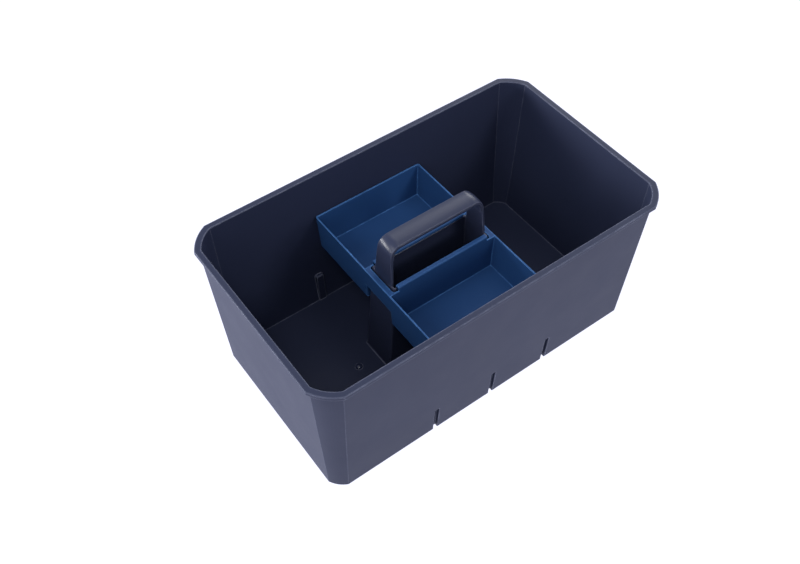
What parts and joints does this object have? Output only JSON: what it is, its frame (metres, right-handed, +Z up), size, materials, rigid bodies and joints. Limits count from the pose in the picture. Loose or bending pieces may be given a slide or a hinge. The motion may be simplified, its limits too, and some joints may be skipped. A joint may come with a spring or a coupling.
{
  "type": "cleaning caddy",
  "caption": "Open tub with cut corners, a central tower that carries a strap handle, and a two-compartment tray that lifts off over the handle.",
  "frame": {"origin": "middle of the base, at the height of the face that it rests on", "axes": "+X along the long side, which is also the handle's direction; +Y across towards the rear compartment; +Z up"},
  "size_m": [0.5, 0.29, 0.217],
  "materials": {
    "slate_plastic": "fine satin texture",
    "liner_plastic": "fine satin texture",
    "blue_plastic": "smooth satin",
    "screw_steel": "zinc plated"
  },
  "bodies": {
    "caddy": {"tub": "slate_plastic", "handle_tower": "slate_plastic", "grip_liner": "liner_plastic", "tower_screw_front_left": "screw_steel", "tower_screw_front_right": "screw_steel", "tower_screw_rear_right": "screw_steel", "tower_screw_rear_left": "screw_steel"},
    "tray": {"tray": "blue_plastic"}
  },
  "joints": [
    {"name": "tray_lift", "type": "slide", "parent": "caddy", "child": "tray", "axis": [0, 0, 1], "range_m": [0, 0.15]}
  ]
}
